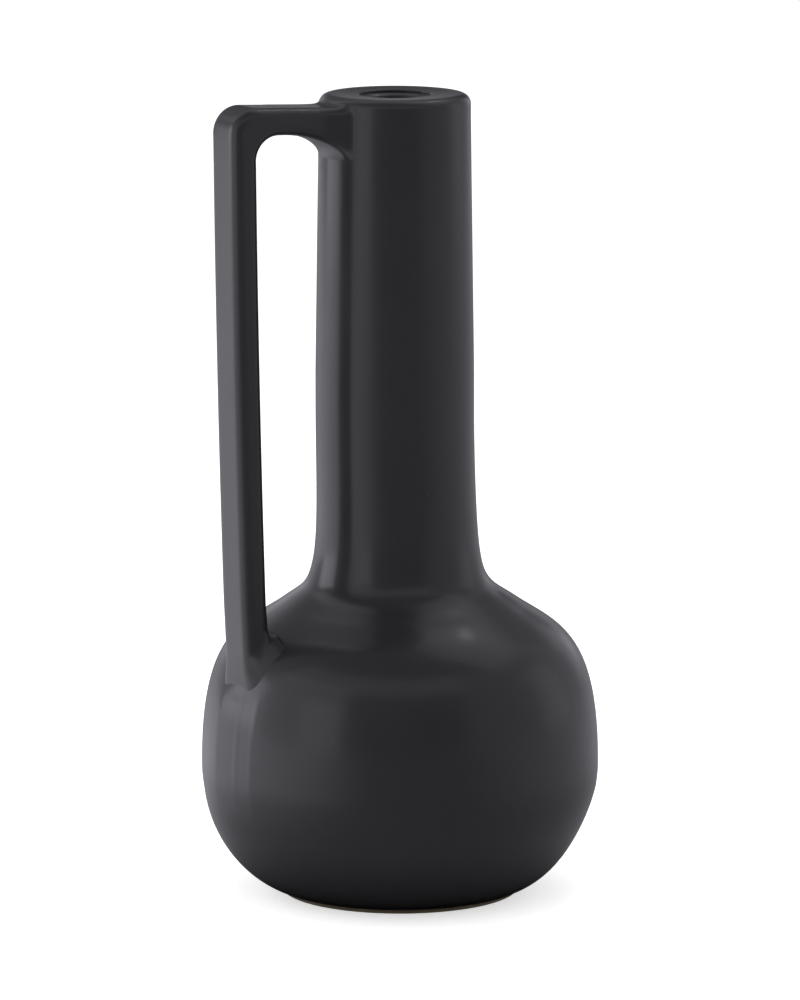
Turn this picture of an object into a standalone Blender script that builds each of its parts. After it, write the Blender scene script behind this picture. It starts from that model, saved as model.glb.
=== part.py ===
"""Stoneware bottle vase with a tall, square-cornered bar handle.

The clay parts are turned or cut and luted together with slip before firing: a foot ring,
a bowl, a shoulder, a neck, a mouth ring, and a bar handle made of two lengths with a mitre
between them. Metres, +Z up. The origin is on the table, under the middle of the round body,
and the handle stands on the -X side.
"""
from math import acos, cos, hypot, pi, radians, sin, sqrt, tan

import bmesh
import bpy
from mathutils import Matrix, Vector

# Whole vase
HEIGHT = 0.300
WALL = 0.005
SLIP = 0.0003
TURN_STEPS = 60

# Foot ring, left bare of glaze
FOOT_RADIUS = 0.045
FOOT_HEIGHT = 0.0014
FOOT_WIDTH = 0.007
FOOT_CHAMFER = 0.0004

# Bowl and shoulder, the two halves of the round body
BULB_RADIUS = 0.0743
BULB_WIDEST_HEIGHT = 0.0485
BELLY_RISE = radians(16)
BELLY_FULLNESS = 0.59
BELLY_DROP = 0.41
SHOULDER_RADIUS = 0.0447
SHOULDER_HEIGHT = 0.1091
SHOULDER_SLOPE = radians(33)
SHOULDER_FULLNESS = 0.54
SHOULDER_DROP = 0.775

# Neck, with the cove that carries it into the shoulder
NECK_TOP_RADIUS = 0.0281
NECK_LOW_RADIUS = 0.0293
COVE_HEIGHT = 0.165
COVE_DROP = 0.78
COVE_SWEEP = 0.95
NECK_JOINT_HEIGHT = 0.121
NECK_OFFSET = 0.0022

# Mouth ring, which closes in to a small throat
RIM_HEIGHT = 0.009
RIM_ROUNDING = 0.0037
RIM_FLAT_WIDTH = 0.0085
MOUTH_DISH = 0.0003
THROAT_RADIUS = 0.0123
THROAT_LIP = 0.0030
RIM_THICKNESS = 0.005

# Handle: the bar's section, its corner and how it stands
BAR_THICKNESS = 0.010
BAR_WIDTH = 0.020
BAR_EDGE = 0.0034
CORNER_OUTER_RADIUS = 0.011
CORNER_INNER_RADIUS = 0.009
HANDLE_INSET = 0.0049
HANDLE_LEAN = 0.0045
HANDLE_BOW = 0.0008
ARM_DROP = 0.0010
ARM_RISE = radians(2.8)

# Webs of clay that widen the bar where it meets the pot: how far each runs and how far it stands out
ROOT_RUN_UNDER = 0.021
ROOT_WEB_UNDER = 0.0103
ROOT_RUN_SIDE = 0.010
ROOT_WEB_SIDE = 0.0033
ROOT_RUN_TOP = 0.0045
ROOT_WEB_TOP = 0.0020
FOOT_RUN = 0.010
FOOT_WEB = 0.0040

# Facets
ARC_STEPS = 4
EDGE_STEPS = 3
SIDE_STEPS = 4
END_STEPS = 2


def pulled_curve(start, start_pull, end, end_pull, steps):
    """Points of a cubic curve; each pull is the vector that leads the line away from its end."""
    first = start + start_pull
    last = end + end_pull
    points = []
    for step in range(steps + 1):
        t = step / steps
        s = 1 - t
        points.append(s**3 * start + 3 * s * s * t * first + 3 * s * t * t * last + t**3 * end)
    return points


def join_lines(*lines):
    """One line from several that share their end points."""
    joined = list(lines[0])
    for line in lines[1:]:
        joined.extend(line[1:])
    return joined


def offset_line(line, distance):
    """The same line moved sideways, to its left as it is drawn."""
    moved = []
    for index, point in enumerate(line):
        before = line[max(index - 1, 0)]
        after = line[min(index + 1, len(line) - 1)]
        along = (after - before).normalized()
        moved.append(point + distance * Vector((-along.y, along.x)))
    return moved


def radius_at(line, height):
    """Radius of a line that climbs all the way, at one height."""
    for low, high in zip(line, line[1:]):
        if height <= high.y:
            share = (height - low.y) / (high.y - low.y)
            return low.x + share * (high.x - low.x)
    return line[-1].x


def height_at(line, radius):
    """Height of a line that closes in as it climbs, at one radius."""
    for low, high in zip(line, line[1:]):
        if radius >= high.x:
            share = (radius - low.x) / (high.x - low.x)
            return low.y + share * (high.y - low.y)
    return line[-1].y


def between(line, low, high):
    """The stretch of a climbing line between two heights, with its ends cut level."""
    inside = [point for point in line if low < point.y < high]
    first = Vector((radius_at(line, low), low))
    last = Vector((radius_at(line, high), high))
    return [first] + inside + [last]


def belly_line():
    """Outer line of the bowl, from the foot up to the widest place."""
    foot = Vector((FOOT_RADIUS, FOOT_HEIGHT))
    widest = Vector((BULB_RADIUS, BULB_WIDEST_HEIGHT))
    run = BELLY_FULLNESS * (BULB_RADIUS - FOOT_RADIUS)
    foot_pull = Vector((run, run * tan(BELLY_RISE)))
    widest_pull = Vector((0, -BELLY_DROP * (BULB_WIDEST_HEIGHT - FOOT_HEIGHT)))
    return pulled_curve(foot, foot_pull, widest, widest_pull, 12)


def shoulder_line():
    """Outer line from the widest place up to the start of the cove."""
    widest = Vector((BULB_RADIUS, BULB_WIDEST_HEIGHT))
    top = Vector((SHOULDER_RADIUS, SHOULDER_HEIGHT))
    run = SHOULDER_FULLNESS * (BULB_RADIUS - SHOULDER_RADIUS)
    top_pull = Vector((run, -run * tan(SHOULDER_SLOPE)))
    widest_pull = Vector((0, SHOULDER_DROP * (SHOULDER_HEIGHT - BULB_WIDEST_HEIGHT)))
    return pulled_curve(widest, widest_pull, top, top_pull, 10)


def cove_line():
    """Outer line of the cove, from the shoulder up into the straight neck."""
    low = Vector((SHOULDER_RADIUS, SHOULDER_HEIGHT))
    high = Vector((NECK_LOW_RADIUS, COVE_HEIGHT))
    run = COVE_SWEEP * (SHOULDER_RADIUS - NECK_LOW_RADIUS)
    low_pull = Vector((-run, run * tan(SHOULDER_SLOPE)))
    high_pull = Vector((0, -COVE_DROP * (COVE_HEIGHT - SHOULDER_HEIGHT)))
    return pulled_curve(low, low_pull, high, high_pull, 10)


def rim_line():
    """Outer line of the mouth ring, from its joint to the crest."""
    joint = Vector((NECK_TOP_RADIUS, HEIGHT - RIM_HEIGHT))
    points = [joint]
    for step in range(ARC_STEPS + 1):
        turn = pi / 2 * step / ARC_STEPS
        radius = NECK_TOP_RADIUS - RIM_ROUNDING + RIM_ROUNDING * cos(turn)
        points.append(Vector((radius, HEIGHT - RIM_ROUNDING + RIM_ROUNDING * sin(turn))))
    return points


BELLY = belly_line()
SHOULDER = shoulder_line()
COVE = cove_line()
RIM = rim_line()
BODY_OUTER = join_lines(BELLY, SHOULDER, COVE, [COVE[-1], RIM[0]])
BODY_INNER = offset_line(BODY_OUTER, WALL)
SURFACE = join_lines(BODY_OUTER, RIM)
SHOULDER_CLEAR = offset_line(SHOULDER, -SLIP)


def neck_shift(height):
    """How far the neck stands off the body's axis, towards the handle, at one height."""
    share = (height - SHOULDER_HEIGHT) / (COVE_HEIGHT - SHOULDER_HEIGHT)
    share = min(max(share, 0), 1)
    return NECK_OFFSET * share * share * (3 - 2 * share)


def finish_mesh(name, shape, colour, roughness):
    """Turn a bmesh into a named, smooth-shaded object with its own material."""
    bmesh.ops.recalc_face_normals(shape, faces=shape.faces)
    mesh = bpy.data.meshes.new(name)
    shape.to_mesh(mesh)
    shape.free()
    mesh.shade_smooth()
    mesh.set_sharp_from_angle(angle=radians(40))
    material = bpy.data.materials.new(name)
    material.use_nodes = True
    shader = material.node_tree.nodes["Principled BSDF"]
    shader.inputs["Base Color"].default_value = (*colour, 1)
    shader.inputs["Roughness"].default_value = roughness
    shader.inputs["Metallic"].default_value = 0
    material.diffuse_color = (*colour, 1)
    mesh.materials.append(material)
    piece = bpy.data.objects.new(name, mesh)
    bpy.context.scene.collection.objects.link(piece)
    return piece


GLAZE = (0.021, 0.020, 0.022)
GLAZE_ROUGHNESS = 0.3
BARE_CLAY = (0.13, 0.095, 0.055)
BARE_CLAY_ROUGHNESS = 0.85


def turned(name, profile, closed, colour=GLAZE, roughness=GLAZE_ROUGHNESS):
    """Spin a profile about the body's axis; a closed one makes a ring, an open one meets the axis."""
    shape = bmesh.new()
    corners = [shape.verts.new((point.x, 0, point.y)) for point in profile]
    edges = [shape.edges.new(pair) for pair in zip(corners, corners[1:])]
    if closed:
        edges.append(shape.edges.new((corners[-1], corners[0])))
    bmesh.ops.spin(shape, geom=corners + edges, cent=(0, 0, 0), axis=(0, 0, 1), dvec=(0, 0, 0),
                   angle=2 * pi, steps=TURN_STEPS, use_merge=True, use_duplicate=False)
    bmesh.ops.remove_doubles(shape, verts=shape.verts, dist=1e-6)
    for corner in shape.verts:
        corner.co.x -= neck_shift(corner.co.z)
    return finish_mesh(name, shape, colour, roughness)


def shell_piece(name, low, high):
    """A ring of the body's wall between two joint heights."""
    profile = between(BODY_OUTER, low, high)
    profile += reversed(between(BODY_INNER, low, high))
    return turned(name, profile, closed=True)


def make_foot_ring():
    """Bare ring that the vase stands on, with its lower edges broken."""
    top = FOOT_HEIGHT - SLIP
    outer = FOOT_RADIUS - FOOT_CHAMFER
    inner = FOOT_RADIUS - FOOT_WIDTH
    profile = [
        Vector((outer, top)),
        Vector((outer, FOOT_CHAMFER)),
        Vector((outer - FOOT_CHAMFER, 0)),
        Vector((inner + FOOT_CHAMFER, 0)),
        Vector((inner, FOOT_CHAMFER)),
        Vector((inner, top)),
    ]
    return turned("foot_ring", profile, True, BARE_CLAY, BARE_CLAY_ROUGHNESS)


def make_bowl():
    """Lower half of the body, with the floor of the vessel."""
    joint = BULB_WIDEST_HEIGHT - SLIP / 2
    outer = [Vector((0, FOOT_HEIGHT)), BELLY[0]] + between(BODY_OUTER, FOOT_HEIGHT, joint)[1:]
    floor_height = FOOT_HEIGHT + WALL
    inner = [Vector((0, floor_height))] + between(BODY_INNER, floor_height, joint)
    return turned("bowl", outer + list(reversed(inner)), closed=False)


def make_mouth_ring():
    """Thick rolled rim whose top dips to a small throat."""
    joint = HEIGHT - RIM_HEIGHT + SLIP / 2
    crest = RIM[-1]
    dish_edge = Vector((crest.x - RIM_FLAT_WIDTH, HEIGHT - MOUTH_DISH))
    throat = Vector((THROAT_RADIUS, HEIGHT - MOUTH_DISH - THROAT_LIP))
    lip_pull = Vector((0.55 * (THROAT_RADIUS - dish_edge.x), 0))
    lip = pulled_curve(dish_edge, lip_pull, throat, Vector((0, THROAT_LIP / 2)), 5)
    under = HEIGHT - RIM_THICKNESS - MOUTH_DISH
    round_off = THROAT_LIP / 3
    inner_radius = NECK_TOP_RADIUS - WALL
    fillet = (RIM_HEIGHT - RIM_THICKNESS) / 2
    corner = pulled_curve(Vector((inner_radius - fillet, under)), Vector((fillet / 2, 0)),
                          Vector((inner_radius, under - fillet)), Vector((0, fillet / 2)), 3)
    profile = between(RIM, joint, HEIGHT) + lip
    profile += [Vector((THROAT_RADIUS + round_off, under - round_off / 2))]
    profile += corner + [Vector((inner_radius, joint))]
    return turned("mouth_ring", profile, closed=True)


def bar_outline(low, high, half_width, edge):
    """Rounded bar section as (through, across) pairs, through being from its inner to its outer face."""
    middles = [(high - edge, half_width - edge, 0), (low + edge, half_width - edge, pi / 2),
               (low + edge, edge - half_width, pi), (high - edge, edge - half_width, 3 * pi / 2)]
    rounds = []
    for through, across, start in middles:
        turns = [start + pi / 2 * step / EDGE_STEPS for step in range(EDGE_STEPS + 1)]
        rounds.append([(through + edge * cos(turn), across + edge * sin(turn)) for turn in turns])
    outline = []
    for index, arc in enumerate(rounds):
        outline.extend(arc)
        following = rounds[(index + 1) % 4][0]
        steps = SIDE_STEPS if index % 2 else END_STEPS
        for step in range(1, steps):
            share = step / steps
            outline.append(tuple(a + share * (b - a) for a, b in zip(arc[-1], following)))
    return outline


def web(distance, run, width):
    """How far a web of clay stands out from the bar, at a distance from what the bar meets."""
    return width * (1 - min(distance / run, 1)) ** 2


FOOT_REACH = BULB_RADIUS - HANDLE_INSET
FOOT_TOP = height_at(SHOULDER, FOOT_REACH)
CORNER_HEIGHT = HEIGHT - ARM_DROP
UPRIGHT_RUN = CORNER_HEIGHT - FOOT_TOP


def outer_face(height):
    """Distance of the upright's outer face from the body's axis, at one height."""
    share = (height - FOOT_TOP) / UPRIGHT_RUN
    return FOOT_REACH + HANDLE_LEAN * share + 4 * HANDLE_BOW * share * (1 - share)


# The corner, in the handle's own plane: x is the distance from the axis, y is the height
ARM_ALONG = Vector((cos(ARM_RISE), sin(ARM_RISE)))
ARM_UP = Vector((-sin(ARM_RISE), cos(ARM_RISE)))
CORNER_TILT = (HANDLE_LEAN - 4 * HANDLE_BOW) / UPRIGHT_RUN
UPRIGHT_DOWN = Vector((-CORNER_TILT, -1)).normalized()
UPRIGHT_OUT = Vector((-UPRIGHT_DOWN.y, UPRIGHT_DOWN.x))
CORNER_TURN = acos(ARM_ALONG.dot(UPRIGHT_DOWN))
CORNER = Vector((outer_face(CORNER_HEIGHT), CORNER_HEIGHT))


def inside_corner(depth):
    """The point that lies one depth under the arm's top and behind the upright's outer face."""
    sides = Matrix((ARM_UP, UPRIGHT_OUT))
    return CORNER + sides.inverted() @ Vector((-depth, -depth))


FAN_CENTRE = inside_corner(BAR_THICKNESS + CORNER_INNER_RADIUS)
ROUND_CENTRE = inside_corner(CORNER_OUTER_RADIUS)


def corner_pair(turn):
    """Inner and outer point of the bar on a ray that fans out round the handle's corner."""
    ray = ARM_UP * cos(turn) + ARM_ALONG * sin(turn)
    depth = BAR_THICKNESS + CORNER_INNER_RADIUS
    reach = min(depth / max(ray.dot(ARM_UP), 1e-6), depth / max(ray.dot(UPRIGHT_OUT), 1e-6))
    past = FAN_CENTRE + reach * ray - ROUND_CENTRE
    if past.dot(ARM_ALONG) > 0 and past.dot(UPRIGHT_DOWN) < 0:
        toward = ROUND_CENTRE - FAN_CENTRE
        middle = ray.dot(toward)
        reach = middle + sqrt(middle**2 - toward.length_squared + CORNER_OUTER_RADIUS**2)
    return FAN_CENTRE + CORNER_INNER_RADIUS * ray, FAN_CENTRE + reach * ray


def placed(inner, outer, shift=0):
    """Ring of the bar's section between two points of the handle's plane."""
    middle = (inner + outer) / 2
    through_way = (outer - inner).normalized()
    along = Vector((through_way.y, -through_way.x))
    half = (outer - inner).length / 2
    ring = []
    for through, across in bar_outline(-half, half, BAR_WIDTH / 2, BAR_EDGE):
        point = middle + through * through_way + shift * along
        ring.append(Vector((-point.x, across, point.y)))
    return ring


def corner_rings(first, last, steps, first_shift=0, last_shift=0):
    """Rings of the corner between two turns of the fan."""
    rings = []
    for step in range(steps + 1):
        inner, outer = corner_pair(first + (last - first) * step / steps)
        shift = {0: first_shift, steps: last_shift}.get(step, 0)
        rings.append(placed(inner, outer, shift))
    return rings


def skinned(name, rings):
    """Close a stack of rings, with a point in the middle of each end."""
    shape = bmesh.new()
    loops = [[shape.verts.new(point) for point in ring] for ring in rings]
    for low, high in zip(loops, loops[1:]):
        for index in range(len(low)):
            after = (index + 1) % len(low)
            shape.faces.new((low[index], low[after], high[after], high[index]))
    for loop in (loops[0], loops[-1]):
        middle = sum((corner.co for corner in loop), Vector()) / len(loop)
        tip = shape.verts.new(middle)
        for index in range(len(loop)):
            shape.faces.new((loop[index], loop[(index + 1) % len(loop)], tip))
    return finish_mesh(name, shape, GLAZE, GLAZE_ROUGHNESS)


def neck_face(across, height):
    """Distance from the body's axis to the neck's face, just clear of it, beside the handle's plane."""
    radius = radius_at(SURFACE, min(height, HEIGHT)) + SLIP
    return neck_shift(height) + sqrt(max(radius**2 - across**2, 0))


def arm_middle(distance):
    """Height of the arm's middle line at a distance from the body's axis."""
    return CORNER_HEIGHT - BAR_THICKNESS / 2 + (distance - CORNER.x) * tan(ARM_RISE)


def root_ring(stand_off, shrink=1):
    """Ring of the arm's flared root that follows the neck at one stand-off."""
    level = arm_middle(neck_face(0, arm_middle(NECK_TOP_RADIUS)) + stand_off)
    half = BAR_THICKNESS / 2
    outline = bar_outline(-half - web(stand_off, ROOT_RUN_UNDER, ROOT_WEB_UNDER),
                          half + web(stand_off, ROOT_RUN_TOP, ROOT_WEB_TOP),
                          BAR_WIDTH / 2 + web(stand_off, ROOT_RUN_SIDE, ROOT_WEB_SIDE), BAR_EDGE)
    ring = []
    for through, across in outline:
        height = level + shrink * through
        distance = neck_face(shrink * across, height) + stand_off
        ring.append(Vector((-distance, shrink * across, height)))
    return ring


def make_arm():
    """Short length that leaves the neck under the rim and ends in the mitre."""
    rings = [root_ring(0, shrink) for shrink in (0.25, 0.5, 0.75)]
    rings += [root_ring(ROOT_RUN_UNDER * share) for share in (0, 0.06, 0.14, 0.25, 0.4, 0.6, 0.9)]
    rings += corner_rings(0, CORNER_TURN / 2, ARC_STEPS, last_shift=-SLIP / 2)
    return skinned("handle_arm", rings)


def foot_ring_of_bar(stand_off, shrink=1):
    """Ring of the upright's lower end that follows the shoulder at one stand-off."""
    half = BAR_THICKNESS / 2
    grow = web(stand_off, FOOT_RUN, FOOT_WEB)
    outline = bar_outline(-half - grow, half, BAR_WIDTH / 2 + grow, BAR_EDGE)
    ring = []
    for through, across in outline:
        guess = height_at(SHOULDER, hypot(FOOT_REACH - half + shrink * through, shrink * across))
        distance = outer_face(guess) - half + shrink * through
        height = height_at(SHOULDER_CLEAR, hypot(distance, shrink * across)) + stand_off
        ring.append(Vector((-distance, shrink * across, height)))
    return ring


def make_upright():
    """Long length that drops from the mitre to the shoulder."""
    rings = corner_rings(CORNER_TURN / 2, CORNER_TURN, ARC_STEPS, first_shift=SLIP / 2)
    start = FAN_CENTRE.y
    end = height_at(SHOULDER, FOOT_REACH - BAR_THICKNESS) + 1.5 * FOOT_RUN
    steps = 6
    for step in range(1, steps + 1):
        height = start + (end - start) * step / steps
        outer = Vector((outer_face(height), height))
        rings.append(placed(outer - Vector((BAR_THICKNESS, 0)), outer))
    rings += [foot_ring_of_bar(FOOT_RUN * share) for share in (0.9, 0.6, 0.35, 0.15, 0)]
    rings += [foot_ring_of_bar(0, shrink) for shrink in (0.75, 0.5, 0.25)]
    return skinned("handle_upright", rings)


def main():
    for old in list(bpy.data.objects):
        bpy.data.objects.remove(old, do_unlink=True)
    make_foot_ring()
    make_bowl()
    shell_piece("shoulder", BULB_WIDEST_HEIGHT + SLIP / 2, NECK_JOINT_HEIGHT - SLIP / 2)
    shell_piece("neck", NECK_JOINT_HEIGHT + SLIP / 2, HEIGHT - RIM_HEIGHT - SLIP / 2)
    make_mouth_ring()
    make_arm()
    make_upright()


main()
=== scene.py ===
# %% [markdown]
# # A black stoneware bottle vase
#
# The vase stands 30 cm tall. A potter would make it from seven pieces of clay: a foot ring,
# a bowl, a shoulder, a neck, a mouth ring, and a bar handle in two lengths that meet at a
# corner. Slip glues them together, and one coat of satin black glaze covers all but the foot.
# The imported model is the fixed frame: every piece made here takes its place and size from it.

# %% Load the frame
from math import acos, cos, hypot, pi, radians, sin, sqrt, tan

import bmesh
import bpy
from mathutils import Matrix, Vector


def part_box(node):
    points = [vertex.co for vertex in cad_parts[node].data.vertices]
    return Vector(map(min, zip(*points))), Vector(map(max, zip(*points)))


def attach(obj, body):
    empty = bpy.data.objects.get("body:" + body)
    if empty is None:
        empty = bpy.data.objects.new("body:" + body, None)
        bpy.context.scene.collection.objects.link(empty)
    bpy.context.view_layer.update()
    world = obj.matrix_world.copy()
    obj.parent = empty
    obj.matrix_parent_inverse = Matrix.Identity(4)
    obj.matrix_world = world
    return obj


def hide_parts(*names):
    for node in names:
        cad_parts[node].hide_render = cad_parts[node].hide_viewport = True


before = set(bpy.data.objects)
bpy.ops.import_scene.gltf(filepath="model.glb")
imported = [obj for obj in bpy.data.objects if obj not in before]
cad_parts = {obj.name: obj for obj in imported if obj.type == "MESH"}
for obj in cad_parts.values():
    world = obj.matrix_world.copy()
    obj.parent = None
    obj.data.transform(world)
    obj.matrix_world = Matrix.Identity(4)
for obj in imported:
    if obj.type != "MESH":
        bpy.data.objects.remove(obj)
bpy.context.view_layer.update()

# %% [markdown]
# ## Sizes, read from the frame
#
# The outline of the body is one smooth line from foot to crest. The frame says how wide and
# how high it is at each joint, so those numbers are read and not typed. What the frame's
# boxes can't say, such as how full the belly is, is a named value in metres, as a potter
# would note it beside a drawing.

# %% Sizes of the body
bowl_low, bowl_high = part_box("bowl")
shoulder_low, shoulder_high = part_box("shoulder")
neck_low, neck_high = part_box("neck")
rim_low, rim_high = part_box("mouth_ring")
foot_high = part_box("foot_ring")[1]

HEIGHT = rim_high.z
WALL = 0.005
BULB_RADIUS = bowl_high.y
BULB_WIDEST_HEIGHT = (bowl_high.z + shoulder_low.z) / 2
NECK_JOINT_HEIGHT = (shoulder_high.z + neck_low.z) / 2
RIM_JOINT_HEIGHT = (neck_high.z + rim_low.z) / 2
NECK_TOP_RADIUS = rim_high.y
NECK_OFFSET = -(rim_low.x + rim_high.x) / 2
FOOT_HEIGHT = bowl_low.z
FOOT_CHAMFER = 0.0004
FOOT_RADIUS = foot_high.y + FOOT_CHAMFER
FOOT_WIDTH = 0.007

BELLY_RISE = radians(16)
BELLY_FULLNESS = 0.59
BELLY_DROP = 0.41
SHOULDER_RADIUS = 0.04534
SHOULDER_HEIGHT = 0.1091
SHOULDER_SLOPE = radians(35.3)
SHOULDER_FULLNESS = 0.486
SHOULDER_DROP = 0.814
NECK_LOW_RADIUS = 0.02948
COVE_HEIGHT = 0.1967
COVE_DROP = 0.963
COVE_SWEEP = 0.985
LEANS = ((0.108, 0.124, 0.0012), (0.122, 0.185, 0.0010))  # from, to, and by how much
RIM_ROUNDING = 0.0037
RIM_FLAT_WIDTH = 0.0104
MOUTH_DISH = 0.0002
STEP_ROUNDING = 0.0005
STEP_DEPTH = 0.0010
LEDGE_SLOPE = radians(24)
THROAT_RADIUS = 0.0114
THROAT_LIP = 0.0025
RIM_THICKNESS = 0.005
print("bulb radius", round(BULB_RADIUS * 1000, 2), "neck radius", round(NECK_TOP_RADIUS * 1000, 2))
print("neck stands off by", round(NECK_OFFSET * 1000, 2), "mm, and its leans add up to",
      round(sum(shift for low, high, shift in LEANS) * 1000, 2))

# %% [markdown]
# ## The outline of the body
#
# Three cubic curves make the body: the belly, the shoulder and the cove that sweeps up into
# the straight neck. A cubic curve is drawn from two end points and the pull at each end,
# which is how Blender's own Bezier handles work. The inner wall is the same line moved
# inwards by the thickness of the clay. The lines are kept as plain points, because each
# piece takes only its own stretch of them.

# %% Curves that draw the body
ROW = 0.003


def pulled_curve(start, start_pull, end, end_pull, steps):
    """Points of a cubic curve; each pull is the vector that leads the line away from its end."""
    first = start + start_pull
    last = end + end_pull
    points = []
    for step in range(steps + 1):
        t = step / steps
        s = 1 - t
        points.append(s**3 * start + 3 * s * s * t * first + 3 * s * t * t * last + t**3 * end)
    return points


def straight(start, end, length=ROW):
    """Points of a straight line, about one row apart."""
    steps = max(round((end - start).length / length), 1)
    return [start.lerp(end, step / steps) for step in range(steps + 1)]


def arc(centre, radius, first, last, steps=14):
    """Points of an arc, by the turn from +x."""
    turns = [first + (last - first) * step / steps for step in range(steps + 1)]
    return [centre + radius * Vector((cos(turn), sin(turn))) for turn in turns]


def join_lines(*lines):
    """One line from several that share their end points."""
    joined = list(lines[0])
    for line in lines[1:]:
        joined.extend(line[1:])
    return joined


def offset_line(line, distance):
    """The same line moved sideways, to its left as it is drawn."""
    moved = []
    for index, point in enumerate(line):
        before = line[max(index - 1, 0)]
        after = line[min(index + 1, len(line) - 1)]
        along = (after - before).normalized()
        moved.append(point + distance * Vector((-along.y, along.x)))
    return moved


def radius_at(line, height):
    """Radius of a climbing line at one height."""
    for low, high in zip(line, line[1:]):
        if height <= high.y:
            return low.x + (height - low.y) / (high.y - low.y) * (high.x - low.x)
    return line[-1].x


def height_at(line, radius):
    """Height of a line that closes in as it climbs, at one radius."""
    for low, high in zip(line, line[1:]):
        if radius >= high.x:
            return low.y + (radius - low.x) / (high.x - low.x) * (high.y - low.y)
    return line[-1].y


def between(line, low, high):
    """The stretch of a climbing line between two heights, with its ends cut level."""
    margin = 1e-6
    inside = [point for point in line if low + margin < point.y < high - margin]
    return [Vector((radius_at(line, low), low))] + inside + [Vector((radius_at(line, high), high))]


# %% The body's own lines
foot_edge = Vector((FOOT_RADIUS, FOOT_HEIGHT))
widest = Vector((BULB_RADIUS, BULB_WIDEST_HEIGHT))
shoulder_top = Vector((SHOULDER_RADIUS, SHOULDER_HEIGHT))
cove_top = Vector((NECK_LOW_RADIUS, COVE_HEIGHT))
rim_joint = Vector((NECK_TOP_RADIUS, RIM_JOINT_HEIGHT))

belly_run = BELLY_FULLNESS * (BULB_RADIUS - FOOT_RADIUS)
shoulder_run = SHOULDER_FULLNESS * (BULB_RADIUS - SHOULDER_RADIUS)
cove_run = COVE_SWEEP * (SHOULDER_RADIUS - NECK_LOW_RADIUS)
BELLY = pulled_curve(foot_edge, Vector((belly_run, belly_run * tan(BELLY_RISE))),
                     widest, Vector((0, -BELLY_DROP * (BULB_WIDEST_HEIGHT - FOOT_HEIGHT))), steps=72)
SHOULDER = pulled_curve(widest, Vector((0, SHOULDER_DROP * (SHOULDER_HEIGHT - BULB_WIDEST_HEIGHT))),
                        shoulder_top, Vector((shoulder_run, -shoulder_run * tan(SHOULDER_SLOPE))),
                        steps=72)
COVE = pulled_curve(shoulder_top, Vector((-cove_run, cove_run * tan(SHOULDER_SLOPE))),
                    cove_top, Vector((0, -COVE_DROP * (COVE_HEIGHT - SHOULDER_HEIGHT))), steps=60)
BODY_OUTER = join_lines(BELLY, SHOULDER, COVE, straight(cove_top, rim_joint))
BODY_INNER = offset_line(BODY_OUTER, WALL)

rim_middle = Vector((NECK_TOP_RADIUS - RIM_ROUNDING, HEIGHT - RIM_ROUNDING))
RIM = straight(rim_joint, Vector((NECK_TOP_RADIUS, rim_middle.y)), ROW / 4)
RIM = join_lines(RIM, arc(rim_middle, RIM_ROUNDING, 0, pi / 2))
SURFACE = join_lines(BODY_OUTER, RIM)
print("outline has", len(SURFACE), "points from foot to crest")

# %% [markdown]
# ## Small helpers
#
# Geometry Nodes and shader nodes are built the same way: a node is added, its own options
# are set, and each input gets a value or a link. One function does all of that, so that a
# tree can be read from top to bottom. Others turn a colour from hex to linear, start a
# material, and put an object in the scene.

# %% Helpers
def add(tree, kind, inputs=None, **options):
    """Add a node with its options; an input is given a value, or a socket to link."""
    node = tree.nodes.new(kind)
    for name, value in options.items():
        setattr(node, name, value)
    for name, value in (inputs or {}).items():
        socket = node.inputs[name]
        if isinstance(value, bpy.types.NodeSocket):
            tree.links.new(value, socket)
        else:
            socket.default_value = value
    return node


def colour(hex_code):
    """An sRGB hex code as a linear colour with full alpha."""
    parts = [int(hex_code[start:start + 2], 16) / 255 for start in (1, 3, 5)]
    return (*[part / 12.92 if part <= 0.04045 else ((part + 0.055) / 1.055) ** 2.4
              for part in parts], 1)


def new_material(name):
    """A material with its node tree and its shader."""
    material = bpy.data.materials.new(name)
    material.use_nodes = True
    return material, material.node_tree, material.node_tree.nodes["Principled BSDF"]


def put(name, data):
    """Put an object with this mesh, curve, lamp or camera in the scene."""
    thing = bpy.data.objects.new(name, data)
    bpy.context.scene.collection.objects.link(thing)
    return thing


# %% [markdown]
# ## The glaze
#
# The coat is a satin black glaze on stoneware: iron and manganese in a matt base, dipped or
# sprayed, and fired at about 1200 degrees. It is glass full of very fine crystals, under a
# thin clear skin. So the shader's base is hazy and mirrors only soft shapes, and its coat is
# crisper and gives the highlights their edge. A clear glaze has an IOR of about 1.5. The
# crystals weaken its mirror, so the base is matched to the vase with 1.36.
#
# What the eye reads as glaze and not as plastic is the unevenness: it pools and thins a
# little, which changes the gloss over a few centimetres, it has an orange-peel skin of about
# a millimetre, and here and there a pinhole or a pale speck breaks it. The colour, the gloss
# and the bump each get their own pattern for that, all on Object coordinates, which are
# metres here.

# %% Satin black glaze
MM = 0.001
GLAZE_THICK = "#1b1a1c"
GLAZE_THIN = "#222023"
GLAZE_SPECK = "#4a4a4d"
GLAZE_IOR = 1.36
GLAZE_HAZE = (0.36, 0.44)
GLAZE_SKIN = 0.5
SKIN_HAZE = 0.17
POOL_SIZE = 38 * MM
PEEL_SIZE = 1.4 * MM
PEEL_HEIGHT = 0.006 * MM
SPECK_SPACING = 5.5 * MM
SPECK_RADIUS = 0.22 * MM
SPECK_SHARE = 0.3
PINHOLE_SPACING = 9 * MM
PINHOLE_RADIUS = 0.28 * MM
PINHOLE_SHARE = 0.35
PINHOLE_DEPTH = 0.12 * MM
SPOT_CORE = 0.4  # the part of a spot's radius that has no soft edge


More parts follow.
